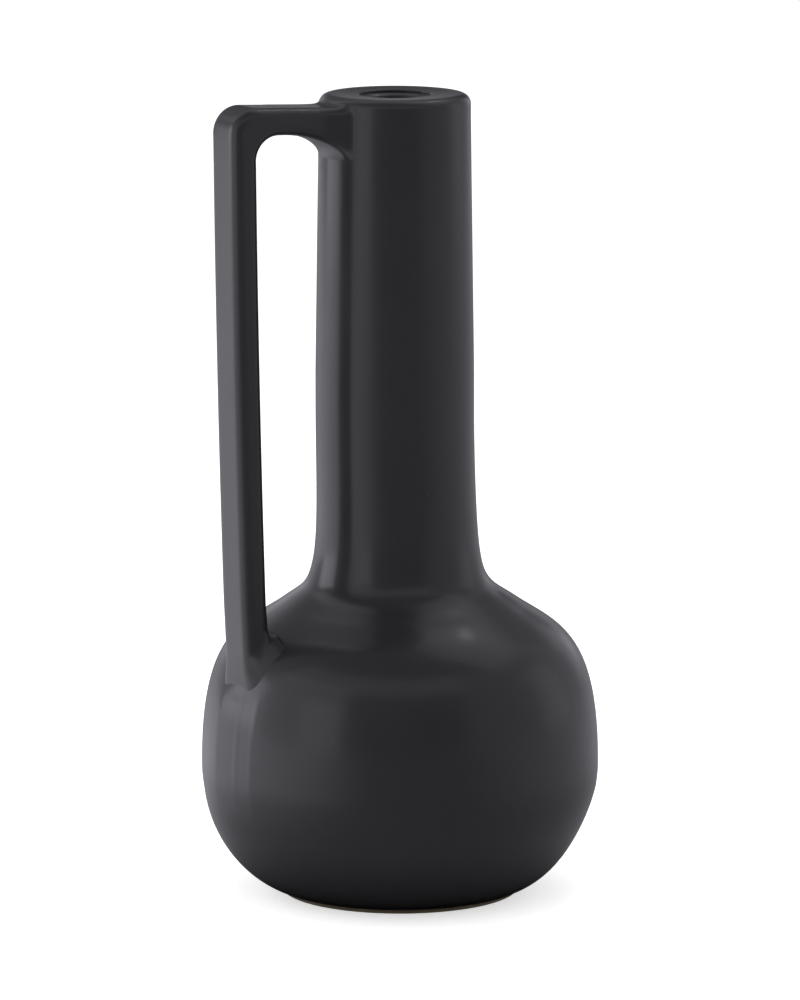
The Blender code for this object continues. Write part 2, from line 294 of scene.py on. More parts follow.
def spots(tree, place, spacing, radius, share, salt):
    """Small round spots, one in some of the cells of a loose grid; 1 inside a spot."""
    moved = add(tree, "ShaderNodeVectorMath", {0: place, 1: (salt, salt, salt)}, operation="ADD")
    cells = add(tree, "ShaderNodeTexVoronoi", {"Vector": moved.outputs[0], "Scale": 1 / spacing})
    near = add(tree, "ShaderNodeMapRange",
               {"Value": cells.outputs["Distance"], "From Min": radius / spacing,
                "From Max": SPOT_CORE * radius / spacing, "To Min": 0.0, "To Max": 1.0},
               interpolation_type="SMOOTHSTEP")
    lot = add(tree, "ShaderNodeSeparateColor", {"Color": cells.outputs["Color"]})
    chosen = add(tree, "ShaderNodeMath", {0: lot.outputs["Red"], 1: share}, operation="LESS_THAN")
    return add(tree, "ShaderNodeMath", {0: near.outputs[0], 1: chosen.outputs[0]},
               operation="MULTIPLY").outputs[0]


def make_glaze():
    """Satin black stoneware glaze."""
    material, tree, shader = new_material("satin_black_stoneware_glaze")
    shader.inputs["IOR"].default_value = GLAZE_IOR
    shader.inputs["Coat Weight"].default_value = GLAZE_SKIN
    shader.inputs["Coat Roughness"].default_value = SKIN_HAZE
    place = add(tree, "ShaderNodeTexCoord").outputs["Object"]
    pools = add(tree, "ShaderNodeTexNoise", {"Vector": place, "Scale": 1 / POOL_SIZE,
                                             "Detail": 3.0, "Roughness": 0.5})
    peel = add(tree, "ShaderNodeTexNoise", {"Vector": place, "Scale": 1 / PEEL_SIZE,
                                            "Detail": 2.0, "Roughness": 0.5})
    base = add(tree, "ShaderNodeMix", {"Factor": pools.outputs["Fac"], "A": colour(GLAZE_THICK),
                                       "B": colour(GLAZE_THIN)}, data_type="RGBA")
    specks = spots(tree, place, SPECK_SPACING, SPECK_RADIUS, SPECK_SHARE, salt=0.0)
    speckled = add(tree, "ShaderNodeMix", {"Factor": specks, "A": base.outputs[2],
                                           "B": colour(GLAZE_SPECK)}, data_type="RGBA")
    tree.links.new(speckled.outputs[2], shader.inputs["Base Color"])
    gloss = add(tree, "ShaderNodeMapRange",
                {"Value": pools.outputs["Fac"], "From Min": 0.3, "From Max": 0.7,
                 "To Min": GLAZE_HAZE[0], "To Max": GLAZE_HAZE[1]})
    tree.links.new(gloss.outputs[0], shader.inputs["Roughness"])
    pinholes = spots(tree, place, PINHOLE_SPACING, PINHOLE_RADIUS, PINHOLE_SHARE, salt=0.5)
    skin = add(tree, "ShaderNodeBump", {"Height": peel.outputs["Fac"], "Strength": 1.0,
                                        "Distance": PEEL_HEIGHT})
    holes = add(tree, "ShaderNodeBump",
                {"Height": pinholes, "Strength": 1.0, "Distance": PINHOLE_DEPTH,
                 "Normal": skin.outputs[0]}, invert=True)
    tree.links.new(holes.outputs[0], shader.inputs["Normal"])
    tree.links.new(holes.outputs[0], shader.inputs["Coat Normal"])
    return material


GLAZE = make_glaze()
print("made", GLAZE.name)

# %% [markdown]
# ## The bare foot
#
# Glaze would stick the vase to the kiln shelf, so the ring that it stands on is wiped
# clean. What shows is fired stoneware: a warm grey-brown body with sand and iron specks,
# rough like fine sandpaper and with no gloss at all.

# %% Bare stoneware clay
CLAY_PALE = "#7d705a"
CLAY_DARK = "#5b4f3c"
CLAY_IRON = "#2b2119"
CLAY_HAZE = (0.75, 0.95)
CLOUD_SIZE = 12 * MM
SAND_SIZE = 0.5 * MM
SAND_HEIGHT = 0.06 * MM
IRON_SPACING = 2.5 * MM
IRON_RADIUS = 0.3 * MM
IRON_SHARE = 0.4


def make_clay():
    """Unglazed fired stoneware."""
    material, tree, shader = new_material("bare_fired_stoneware")
    place = add(tree, "ShaderNodeTexCoord").outputs["Object"]
    cloud = add(tree, "ShaderNodeTexNoise", {"Vector": place, "Scale": 1 / CLOUD_SIZE, "Detail": 4.0})
    sand = add(tree, "ShaderNodeTexNoise", {"Vector": place, "Scale": 1 / SAND_SIZE, "Detail": 2.0})
    base = add(tree, "ShaderNodeMix", {"Factor": cloud.outputs["Fac"], "A": colour(CLAY_DARK),
                                       "B": colour(CLAY_PALE)}, data_type="RGBA")
    iron = spots(tree, place, IRON_SPACING, IRON_RADIUS, IRON_SHARE, salt=0.2)
    specked = add(tree, "ShaderNodeMix", {"Factor": iron, "A": base.outputs[2],
                                          "B": colour(CLAY_IRON)}, data_type="RGBA")
    tree.links.new(specked.outputs[2], shader.inputs["Base Color"])
    rough = add(tree, "ShaderNodeMapRange", {"Value": sand.outputs["Fac"],
                                             "To Min": CLAY_HAZE[0], "To Max": CLAY_HAZE[1]})
    tree.links.new(rough.outputs[0], shader.inputs["Roughness"])
    grain = add(tree, "ShaderNodeBump", {"Height": sand.outputs["Fac"], "Strength": 1.0,
                                         "Distance": SAND_HEIGHT})
    tree.links.new(grain.outputs[0], shader.inputs["Normal"])
    return material


CLAY = make_clay()
print("made", CLAY.name)

# %% [markdown]
# ## A wheel made of nodes
#
# A turned pot is a line spun about an axis, and that is a rule, so Geometry Nodes can be the
# wheel. The piece's line is drawn as a curve, and Curve to Mesh carries it round a circle,
# which keeps every corner of the line. The Screw modifier could do it too, but the tree
# goes on with what no wheel does. It shifts the neck towards the handle by two millimetres,
# in two soft steps. It lets the low belly sag to one side. It also wipes the bulb flat below
# the handle and leaves two faint seams there, as the maker's fingers did.

# %% The wheel
AXLE = 0.05
FACETS = 384
HANDLE_WAY = (-1, 0, 0)
SAG = 0.0008
SAG_TOP = 0.040
SAG_WAY = Vector((-0.877, 0.480, 0))
FLAT_DEPTH = 0.0007
FLAT_PLACE = -0.0049
FLAT_HALF_WIDTH = 0.0124
FLAT_LOW = (0.030, 0.058)
FLAT_HIGH = (0.077, 0.085)
FLAT_SIDE = (-0.04, -0.03)
SEAMS = ((-0.0070, 0.00014, 0.0022), (-0.0166, 0.00012, 0.0016))  # place, height, half width
WELD = 1e-6


def flat_under_the_handle(tree, place, depth):
    """Offset that wipes the bulb flat below the handle and leaves seams down the flat."""
    axes = add(tree, "ShaderNodeSeparateXYZ", {0: place}).outputs
    beside = add(tree, "ShaderNodeMath", {0: axes["Y"], 1: FLAT_PLACE}, operation="SUBTRACT")
    part_way = add(tree, "ShaderNodeMath", {0: beside.outputs[0], 1: FLAT_HALF_WIDTH},
                   operation="DIVIDE")
    squared = add(tree, "ShaderNodeMath", {0: part_way.outputs[0], 1: part_way.outputs[0]},
                  operation="MULTIPLY")
    bowed = add(tree, "ShaderNodeMath", {0: 1.0, 1: squared.outputs[0]}, operation="SUBTRACT")
    wiped = add(tree, "ShaderNodeMath", {0: bowed.outputs[0], 1: 0.0}, operation="MAXIMUM")
    share = wiped.outputs[0]
    for middle, rise, width in SEAMS:
        from_seam = add(tree, "ShaderNodeMath", {0: axes["Y"], 1: middle}, operation="SUBTRACT")
        apart = add(tree, "ShaderNodeMath", {0: from_seam.outputs[0]}, operation="ABSOLUTE")
        seam = add(tree, "ShaderNodeMapRange",
                   {"Value": apart.outputs[0], "From Min": 0.0, "From Max": width,
                    "To Min": rise / FLAT_DEPTH, "To Max": 0.0}, interpolation_type="SMOOTHSTEP")
        share = add(tree, "ShaderNodeMath", {0: share, 1: seam.outputs[0]},
                    operation="SUBTRACT").outputs[0]
    for axis, (first, last), low, high in (("Z", FLAT_LOW, 0.0, 1.0), ("Z", FLAT_HIGH, 1.0, 0.0),
                                           ("X", FLAT_SIDE, 1.0, 0.0)):
        faded = add(tree, "ShaderNodeMapRange",
                    {"Value": axes[axis], "From Min": first, "From Max": last,
                     "To Min": low, "To Max": high}, interpolation_type="SMOOTHSTEP")
        share = add(tree, "ShaderNodeMath", {0: share, 1: faded.outputs[0]},
                    operation="MULTIPLY").outputs[0]
    deep = add(tree, "ShaderNodeMath", {0: share, 1: depth}, operation="MULTIPLY")
    return add(tree, "ShaderNodeCombineXYZ", {"X": deep.outputs[0]}).outputs[0]


def make_wheel():
    """Node tree that spins a line about the body's axis and adds the hand's unevenness."""
    tree = bpy.data.node_groups.new("potters_wheel", "GeometryNodeTree")
    face = tree.interface
    face.new_socket("Geometry", in_out="OUTPUT", socket_type="NodeSocketGeometry")
    face.new_socket("Line", in_out="INPUT", socket_type="NodeSocketGeometry")
    named = {"Facets": ("NodeSocketInt", FACETS), "Lean": ("NodeSocketFloat", 1.0),
             "Sag": ("NodeSocketFloat", SAG), "Sag ends": ("NodeSocketFloat", SAG_TOP),
             "Flat": ("NodeSocketFloat", FLAT_DEPTH), "Finish": ("NodeSocketMaterial", GLAZE)}
    for name, (kind, value) in named.items():
        face.new_socket(name, in_out="INPUT", socket_type=kind).default_value = value
    given = add(tree, "NodeGroupInput").outputs

    drawn = add(tree, "GeometryNodeInputPosition")
    parts = add(tree, "ShaderNodeSeparateXYZ", {0: drawn.outputs[0]})
    out = add(tree, "ShaderNodeMath", {0: parts.outputs["X"], 1: AXLE}, operation="SUBTRACT")
    up = add(tree, "ShaderNodeMath", {0: parts.outputs["Y"], 1: -1.0}, operation="MULTIPLY")
    flat = add(tree, "ShaderNodeCombineXYZ", {"X": out.outputs[0], "Y": up.outputs[0]})
    line = add(tree, "GeometryNodeSetPosition", {"Geometry": given["Line"],
                                                 "Position": flat.outputs[0]})
    circle = add(tree, "GeometryNodeCurvePrimitiveCircle",
                 {"Resolution": given["Facets"], "Radius": AXLE})
    level = add(tree, "GeometryNodeSetCurveNormal", {"Curve": circle.outputs[0]}, mode="Z_UP")
    spun = add(tree, "GeometryNodeCurveToMesh", {"Curve": level.outputs[0],
                                                 "Profile Curve": line.outputs[0]})
    welded = add(tree, "GeometryNodeMergeByDistance", {"Geometry": spun.outputs[0], "Distance": WELD})

    place = add(tree, "GeometryNodeInputPosition")
    height = add(tree, "ShaderNodeSeparateXYZ", {0: place.outputs[0]}).outputs["Z"]
    first, second = [add(tree, "ShaderNodeMapRange",
                         {"Value": height, "From Min": low, "From Max": high,
                          "To Min": 0.0, "To Max": shift}, interpolation_type="SMOOTHSTEP")
                     for low, high, shift in LEANS]
    off_axis = add(tree, "ShaderNodeMath", {0: first.outputs[0], 1: second.outputs[0]},
                   operation="ADD")
    lean = add(tree, "ShaderNodeMath", {0: off_axis.outputs[0], 1: given["Lean"]},
               operation="MULTIPLY")
    leaned = add(tree, "ShaderNodeVectorMath", {0: HANDLE_WAY, "Scale": lean.outputs[0]},
                 operation="SCALE")
    rise = add(tree, "ShaderNodeMapRange",
               {"Value": height, "From Min": 0.0, "From Max": given["Sag ends"],
                "To Min": 0.0, "To Max": pi})
    bulge = add(tree, "ShaderNodeMath", {0: rise.outputs[0]}, operation="SINE")
    sag = add(tree, "ShaderNodeMath", {0: bulge.outputs[0], 1: given["Sag"]}, operation="MULTIPLY")
    sagged = add(tree, "ShaderNodeVectorMath", {0: SAG_WAY, "Scale": sag.outputs[0]},
                 operation="SCALE")
    both = add(tree, "ShaderNodeVectorMath", {0: leaned.outputs[0], 1: sagged.outputs[0]},
               operation="ADD")
    wiped = flat_under_the_handle(tree, place.outputs[0], given["Flat"])
    moved = add(tree, "ShaderNodeVectorMath", {0: both.outputs[0], 1: wiped}, operation="ADD")
    formed = add(tree, "GeometryNodeSetPosition", {"Geometry": welded.outputs[0],
                                                   "Offset": moved.outputs[0]})
    whole = add(tree, "GeometryNodeRealizeInstances", {"Geometry": formed.outputs[0]})
    dipped = add(tree, "GeometryNodeSetMaterial", {"Geometry": whole.outputs[0],
                                                   "Material": given["Finish"]})
    add(tree, "NodeGroupOutput", {"Geometry": dipped.outputs[0]})
    return tree


WHEEL = make_wheel()
print("wheel has", len(WHEEL.nodes), "nodes")

# %% [markdown]
# ## From a line to a finished piece
#
# A piece's line goes into a poly curve, the wheel goes on it as a modifier, and the
# evaluated result becomes a plain mesh. Then its faces are made to point outwards, its
# round faces are shaded smooth and its true edges are kept sharp. The measured volume is
# printed, because it is above zero only where the faces point out.

# %% Finish a piece
SHARP = radians(35)


def finish_piece(name, mesh, node):
    """Point the faces outwards, shade the piece, and seat it on the frame."""
    shape = bmesh.new()
    shape.from_mesh(mesh)
    bmesh.ops.remove_doubles(shape, verts=shape.verts, dist=WELD)
    bmesh.ops.recalc_face_normals(shape, faces=shape.faces)
    volume = shape.calc_volume(signed=True)
    open_edges = sum(1 for edge in shape.edges if len(edge.link_faces) != 2)
    shape.to_mesh(mesh)
    shape.free()
    mesh.name = name
    mesh.shade_smooth()
    mesh.set_sharp_from_angle(angle=SHARP)
    piece = put(name, mesh)
    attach(piece, "root")
    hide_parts(node)
    print(name, len(mesh.polygons), "faces,", round(volume * 1e6, 2), "ml of clay, open edges",
          open_edges)
    return piece


def turned_mesh(line, closed, finish=GLAZE):
    """Spin a line on the wheel and return the plain mesh."""
    curve = bpy.data.curves.new("line", "CURVE")
    curve.dimensions = "3D"
    spline = curve.splines.new("POLY")
    spline.points.add(len(line) - 1)
    for point, corner in zip(spline.points, line):
        point.co = (corner.x, corner.y, 0, 1)
    spline.use_cyclic_u = closed
    drawing = put("line", curve)
    wheel = drawing.modifiers.new("wheel", "NODES")
    wheel.node_group = WHEEL
    sockets = {item.name: item.identifier for item in WHEEL.interface.items_tree
               if item.in_out == "INPUT"}
    wheel[sockets["Finish"]] = finish
    seen = drawing.evaluated_get(bpy.context.evaluated_depsgraph_get())
    mesh = bpy.data.meshes.new_from_object(seen)
    bpy.data.objects.remove(drawing)
    bpy.data.curves.remove(curve)
    return mesh


# %% [markdown]
# ## The turned pieces
#
# The pieces end where the frame's joints are, and each joint is closed here, because the
# glaze runs over it: two neighbours share the same height, so no line shows between them.

# %% Foot ring and bowl
def foot_line():
    """Section of the ring, with its lower edges broken by a wiped chamfer."""
    outer = FOOT_RADIUS - FOOT_CHAMFER
    inner = FOOT_RADIUS - FOOT_WIDTH
    corners = [(outer, FOOT_HEIGHT), (outer, FOOT_CHAMFER), (outer - FOOT_CHAMFER, 0),
               (inner + FOOT_CHAMFER, 0), (inner, FOOT_CHAMFER), (inner, FOOT_HEIGHT)]
    return [Vector(corner) for corner in corners]


def bowl_line():
    """From the middle of the underside, out and up the belly, and down inside to the floor."""
    floor_height = FOOT_HEIGHT + WALL
    under = straight(Vector((0, FOOT_HEIGHT)), BELLY[0])
    inner = between(BODY_INNER, floor_height, BULB_WIDEST_HEIGHT)
    floor = straight(Vector((0, floor_height)), inner[0])
    return join_lines(under, between(BODY_OUTER, FOOT_HEIGHT, BULB_WIDEST_HEIGHT)) + list(
        reversed(join_lines(floor, inner)))


finish_piece("foot_ring_wiped", turned_mesh(foot_line(), closed=True, finish=CLAY),
             "foot_ring")
finish_piece("bowl_glazed", turned_mesh(bowl_line(), closed=False), "bowl")


# %% Shoulder and neck
def wall_line(low, high):
    """Section of the wall between two joints."""
    return between(BODY_OUTER, low, high) + list(reversed(between(BODY_INNER, low, high)))


shoulder_line = wall_line(BULB_WIDEST_HEIGHT, NECK_JOINT_HEIGHT)
neck_line = wall_line(NECK_JOINT_HEIGHT, RIM_JOINT_HEIGHT)
finish_piece("shoulder_glazed", turned_mesh(shoulder_line, closed=True), "shoulder")
finish_piece("neck_glazed", turned_mesh(neck_line, closed=True), "neck")

# %% [markdown]
# ## The mouth ring
#
# The neck closes in to a thick, soft rim with a flat land and a small throat, which is why
# the vase reads as heavy. Its section is drawn as a rounding, an almost level land, a small
# step, a ledge that slopes down to the throat, and the way back underneath. The step and the
# ledge are what the eye sees as a dark ring in the mouth, so the step's edge is kept crisp.

# %% Mouth ring
LAND_PULLS = (0.4, 0.35)
LEDGE_PULL = 0.8


def mouth_line():
    """Section of the rim, from its joint over the crest and down the throat."""
    crest = RIM[-1]
    dish_edge = Vector((crest.x - RIM_FLAT_WIDTH, HEIGHT - MOUTH_DISH))
    throat = Vector((THROAT_RADIUS, HEIGHT - MOUTH_DISH - THROAT_LIP))
    land = pulled_curve(crest, Vector((-LAND_PULLS[0] * RIM_FLAT_WIDTH, 0)), dish_edge,
                        Vector((LAND_PULLS[1] * RIM_FLAT_WIDTH, 0)), steps=12)
    edge = arc(dish_edge - Vector((0, STEP_ROUNDING)), STEP_ROUNDING, pi / 2, pi, steps=8)
    ledge = Vector((edge[-1].x, dish_edge.y - STEP_DEPTH))
    run = ledge.x - THROAT_RADIUS
    lip = pulled_curve(ledge, run * Vector((-LEDGE_PULL, -LEDGE_PULL * tan(LEDGE_SLOPE))), throat,
                       Vector((0, THROAT_LIP / 6)), steps=16)
    under = HEIGHT - RIM_THICKNESS - MOUTH_DISH
    round_off = THROAT_LIP / 3
    inner_radius = NECK_TOP_RADIUS - WALL
    fillet = (HEIGHT - RIM_JOINT_HEIGHT - RIM_THICKNESS) / 2
    corner = pulled_curve(Vector((inner_radius - fillet, under)), Vector((fillet / 2, 0)),
                          Vector((inner_radius, under - fillet)), Vector((0, fillet / 2)), steps=8)
    line = join_lines(RIM, land, edge, [edge[-1], ledge], lip)
    line += pulled_curve(Vector((THROAT_RADIUS, under + round_off / 2)), Vector((0, -round_off / 2)),
                         Vector((THROAT_RADIUS + round_off, under - round_off / 2)),
                         Vector((-round_off / 2, 0)), steps=6)
    return line + corner + [Vector((inner_radius, RIM_JOINT_HEIGHT))]


finish_piece("mouth_ring_glazed", turned_mesh(mouth_line(), closed=True),
             "mouth_ring")

# %% [markdown]
# ## The handle
#
# The handle is a flat bar with soft edges. It leaves the neck just under the rim, turns a
# square corner and drops to the shoulder. A bar is a section carried along a path, but the
# corner has a large rounding outside and another inside, so the sections fan out round it
# like the staves of a barrel. Both ends flare where they meet the pot, as clay does when a
# wet finger smooths the joint. In the names below, a web is how far the bar widens there,
# and a run is how far from the pot that starts.

# %% Sizes of the handle
BAR_THICKNESS = 0.010
BAR_WIDTH = 0.020
BAR_OUTER_EDGE = 0.0039
BAR_INNER_EDGE = 0.0033
CORNER_OUTER_RADIUS = 0.0098
CORNER_INNER_RADIUS = 0.009
HANDLE_INSET = 0.0049
HANDLE_LEAN = 0.0045
HANDLE_BOW = 0.0008
ARM_DROP = 0.0010
ARM_RISE = radians(2.8)
ROOT_RUN_UNDER = 0.0225
ROOT_WEB_UNDER = 0.0098
ROOT_RUN_SIDE = 0.010
ROOT_WEB_SIDE = 0.0033
ROOT_RUN_TOP = 0.0030
ROOT_WEB_TOP = 0.0007
FOOT_RUN = 0.010
FOOT_WEB = 0.0064
FOOT_EDGE = 0.0042
FOOT_FAR_WEB = 0.0016
FOOT_SWELL = 0.0005
FOOT_DROP = 0.0012
FOOT_TWIST = 0.0004
FOOT_TUCK = 0.12
PAD_RUN = 0.0042
PAD_WEB = 0.0038
LIP_ROUNDING = 0.0014
SMOOTHED = 0.0009
BURIED = 0.0003
FOOT_BURIED = 0.0010
EDGE_STEPS = 8
SIDE_STEPS = 8
END_STEPS = 4
CORNER_STEPS = 24
ROOT_STEPS = 32
ARM_STEPS = 12
FOOT_STEPS = 24
BLEND_STEPS = 6
UPRIGHT_ROW = 0.0025

FOOT_REACH = BULB_RADIUS - HANDLE_INSET
FOOT_TOP = height_at(SHOULDER, FOOT_REACH)
CORNER_HEIGHT = HEIGHT - ARM_DROP
UPRIGHT_RUN = CORNER_HEIGHT - FOOT_TOP


# %% The bar's section and its path
def bar_outline(low, high, half_width, soft=BAR_OUTER_EDGE):
    """Rounded bar section as (through, across) pairs, from its inner to its outer face."""
    tight = BAR_INNER_EDGE
    middles = [(high - soft, half_width - soft, 0, soft),
               (low + tight, half_width - tight, pi / 2, tight),
               (low + tight, tight - half_width, pi, tight),
               (high - soft, soft - half_width, 3 * pi / 2, soft)]
    rounds = []
    for through, across, start, edge in middles:
        turns = [start + pi / 2 * step / EDGE_STEPS for step in range(EDGE_STEPS + 1)]
        rounds.append([(through + edge * cos(turn), across + edge * sin(turn)) for turn in turns])
    outline = []
    for index, corner in enumerate(rounds):
        outline.extend(corner)
        following = rounds[(index + 1) % 4][0]
        steps = SIDE_STEPS if index % 2 else END_STEPS
        for step in range(1, steps):
            share = step / steps
            outline.append(tuple(a + share * (b - a) for a, b in zip(corner[-1], following)))
    return outline


def web(distance, run, width):
    """How far the bar widens, at a distance from the pot: a web of clay and a wiped fillet."""
    left = 1 - min(max(distance, 0) / run, 1)
    near = 1 - min(max(distance, 0) / SMOOTHED, 1)
    return width * left**2 + SMOOTHED * (1 - sqrt(1 - near**2))


def hollow(distance, run, depth):
    """Profile of a fillet that starts level along the bar and ends steep at the pot."""
    left = 1 - min(max(distance, 0) / run, 1)
    return depth * (1 - sqrt(1 - left**2))


def rounded(distance, run, depth):
    """Profile of a proud pad or lip that rounds over towards the pot."""
    return depth * sqrt(1 - min(max(distance, 0) / run, 1)**2)


def outer_face(height):
    """Distance of the upright's outer face from the body's axis, at one height."""
    share = (height - FOOT_TOP) / UPRIGHT_RUN
    return FOOT_REACH + HANDLE_LEAN * share + 4 * HANDLE_BOW * share * (1 - share)


ARM_ALONG = Vector((cos(ARM_RISE), sin(ARM_RISE)))
ARM_UP = Vector((-sin(ARM_RISE), cos(ARM_RISE)))
CORNER_TILT = (HANDLE_LEAN - 4 * HANDLE_BOW) / UPRIGHT_RUN
UPRIGHT_DOWN = Vector((-CORNER_TILT, -1)).normalized()
UPRIGHT_OUT = Vector((-UPRIGHT_DOWN.y, UPRIGHT_DOWN.x))
CORNER_TURN = acos(ARM_ALONG.dot(UPRIGHT_DOWN))
CORNER = Vector((outer_face(CORNER_HEIGHT), CORNER_HEIGHT))


def inside_corner(depth):
    """The point that lies one depth under the arm's top and behind the upright's outer face."""
    return CORNER + Matrix((ARM_UP, UPRIGHT_OUT)).inverted() @ Vector((-depth, -depth))


FAN_CENTRE = inside_corner(BAR_THICKNESS + CORNER_INNER_RADIUS)
ROUND_CENTRE = inside_corner(CORNER_OUTER_RADIUS)


def corner_pair(turn):
    """Inner and outer point of the bar on a ray that fans out round the handle's corner."""
    ray = ARM_UP * cos(turn) + ARM_ALONG * sin(turn)
    depth = BAR_THICKNESS + CORNER_INNER_RADIUS
    reach = min(depth / max(ray.dot(ARM_UP), 1e-6), depth / max(ray.dot(UPRIGHT_OUT), 1e-6))
    past = FAN_CENTRE + reach * ray - ROUND_CENTRE
    if past.dot(ARM_ALONG) > 0 and past.dot(UPRIGHT_DOWN) < 0:
        toward = ROUND_CENTRE - FAN_CENTRE
        middle = ray.dot(toward)
        reach = middle + sqrt(middle**2 - toward.length_squared + CORNER_OUTER_RADIUS**2)
    return FAN_CENTRE + CORNER_INNER_RADIUS * ray, FAN_CENTRE + reach * ray


def placed(inner, outer):
    """Ring of the bar's section between two points of the handle's plane."""
    middle = (inner + outer) / 2
    through_way = (outer - inner).normalized()
    half = (outer - inner).length / 2
    ring = []
    for through, across in bar_outline(-half, half, BAR_WIDTH / 2):
        point = middle + through * through_way
        ring.append(Vector((-point.x, across, point.y)))
    return ring


def corner_rings(first, last):
    """Rings of the corner between two turns of the fan."""
    turns = [first + (last - first) * step / CORNER_STEPS for step in range(CORNER_STEPS + 1)]
    return [placed(*corner_pair(turn)) for turn in turns]


def skinned(rings):
    """Mesh through a stack of rings, closed with a point in the middle of each end."""
    shape = bmesh.new()
    loops = [[shape.verts.new(point) for point in ring] for ring in rings]
    for low, high in zip(loops, loops[1:]):
        for index in range(len(low)):
            after = (index + 1) % len(low)
            shape.faces.new((low[index], low[after], high[after], high[index]))
    for loop in (loops[0], loops[-1]):
        tip = shape.verts.new(sum((corner.co for corner in loop), Vector()) / len(loop))
        for index in range(len(loop)):
            shape.faces.new((loop[index], loop[(index + 1) % len(loop)], tip))
    mesh = bpy.data.meshes.new("rings")
    shape.to_mesh(mesh)
    shape.free()
    mesh.materials.append(GLAZE)
    return mesh


# %% [markdown]
# ## The arm, which grows out of the neck
#
# Close to the neck each section is wrapped onto the neck's round face, and the flare makes
# it taller and wider: a deep hollow web under the arm, and small fillets beside and on top.
# The first section lies a hair inside the clay, so that the fillet runs out on the neck
# without an edge.

# %% The arm
def neck_shift(height):
    """How far the neck stands off the body's axis, towards the handle, at one height."""
    total = 0
    for low, high, shift in LEANS:
        share = min(max((height - low) / (high - low), 0), 1)
        total += shift * share * share * (3 - 2 * share)
    return total


def neck_face(across, height):
    """Distance from the body's axis to the neck's face, beside the handle's plane."""
    radius = radius_at(SURFACE, min(height, HEIGHT))
    return neck_shift(height) + sqrt(max(radius**2 - across**2, 0))


def arm_middle(distance):
    """Height of the arm's middle line at a distance from the body's axis."""
    return CORNER_HEIGHT - BAR_THICKNESS / 2 + (distance - CORNER.x) * tan(ARM_RISE)


def root_ring(stand_off):
    """Ring of the arm's flared root that follows the neck at one stand-off."""
    level = arm_middle(neck_face(0, arm_middle(NECK_TOP_RADIUS)) + stand_off)
    half = BAR_THICKNESS / 2
    outline = bar_outline(-half - hollow(stand_off, ROOT_RUN_UNDER, ROOT_WEB_UNDER),
                          half + web(stand_off, ROOT_RUN_TOP, ROOT_WEB_TOP),
                          BAR_WIDTH / 2 + web(stand_off, ROOT_RUN_SIDE, ROOT_WEB_SIDE))
    ring = []
    for through, across in outline:
        height = level + through
        ring.append(Vector((-neck_face(across, height) - stand_off, across, height)))
    return ring


def blend_rings(start, end, steps):
    """Rings between two rings of the same count."""
    shares = [step / steps for step in range(1, steps)]
    return [[a.lerp(b, share) for a, b in zip(start, end)] for share in shares]


root_rings = [root_ring(-BURIED)]
root_rings += [root_ring(ROOT_RUN_UNDER * (step / ROOT_STEPS) ** 2) for step in range(ROOT_STEPS + 1)]
arm_corner = corner_rings(0, CORNER_TURN / 2)
arm_rings = root_rings + blend_rings(root_rings[-1], arm_corner[0], ARM_STEPS) + arm_corner
finish_piece("handle_arm_glazed", skinned(arm_rings), "handle_arm")

# %% [markdown]
# ## The upright, which stands on the shoulder
#
# The other half of the corner belongs to the upright. Its foot follows the shoulder in the
# way that the arm's root follows the neck. It ends in a proud lip outside and a soft pad
# inside, and its web is smoothed out wider on the side that faces the viewer. The last
# ring is sunk into the clay, and the lip pulls in on its way there.

# %% The upright
SINK_PULL = 1.5
BLEND_RUN = 1.5 * FOOT_RUN


def foot_ring_of_bar(stand_off):
    """Ring of the upright's lower end that follows the shoulder at one stand-off."""
    half = BAR_THICKNESS / 2
    near = (1 - max(stand_off, 0) / FOOT_RUN)**2
    near_web = web(stand_off, FOOT_RUN, FOOT_WEB) / (BAR_WIDTH / 2)
    far_web = web(stand_off, FOOT_RUN, FOOT_FAR_WEB) / (BAR_WIDTH / 2)
    pulled = LIP_ROUNDING - rounded(LIP_ROUNDING - max(stand_off, 0), LIP_ROUNDING, LIP_ROUNDING)
    pulled += SINK_PULL * max(-stand_off, 0)
    outline = bar_outline(-half - rounded(stand_off, PAD_RUN, PAD_WEB), half + FOOT_SWELL * near,
                          BAR_WIDTH / 2, BAR_OUTER_EDGE + (FOOT_EDGE - BAR_OUTER_EDGE) * near)
    ring = []
    for through, across in outline:
        outward = min(max((through + half) / BAR_THICKNESS, 0), 1)
        side = near_web if across < 0 else far_web * (1 - outward)
        across *= 1 + side - FOOT_TUCK * outward * pulled / LIP_ROUNDING
        guess = height_at(SHOULDER, hypot(FOOT_REACH - half + through, across))
        distance = outer_face(guess) - half + through
        distance += FOOT_TWIST * near * outward * across / (BAR_WIDTH / 2)
        height = height_at(SHOULDER, hypot(distance, across)) + stand_off - FOOT_DROP * near * outward
        ring.append(Vector((pulled * outward**2 - distance, across, height)))
    return ring


foot_rings = [foot_ring_of_bar(FOOT_RUN * (1 - step / FOOT_STEPS) ** 2)
              for step in range(FOOT_STEPS + 1)]
foot_rings.append(foot_ring_of_bar(-FOOT_BURIED))
upright_end = height_at(SHOULDER, FOOT_REACH - BAR_THICKNESS) + BLEND_RUN
upright_steps = round((FAN_CENTRE.y - upright_end) / UPRIGHT_ROW)
upright_rings = corner_rings(CORNER_TURN / 2, CORNER_TURN)
for step in range(1, upright_steps + 1):
    height = FAN_CENTRE.y + (upright_end - FAN_CENTRE.y) * step / upright_steps
    outer = Vector((outer_face(height), height))
    upright_rings.append(placed(outer - Vector((BAR_THICKNESS, 0)), outer))
upright_rings += blend_rings(upright_rings[-1], foot_rings[0], BLEND_STEPS) + foot_rings
finish_piece("handle_upright_glazed", skinned(upright_rings), "handle_upright")

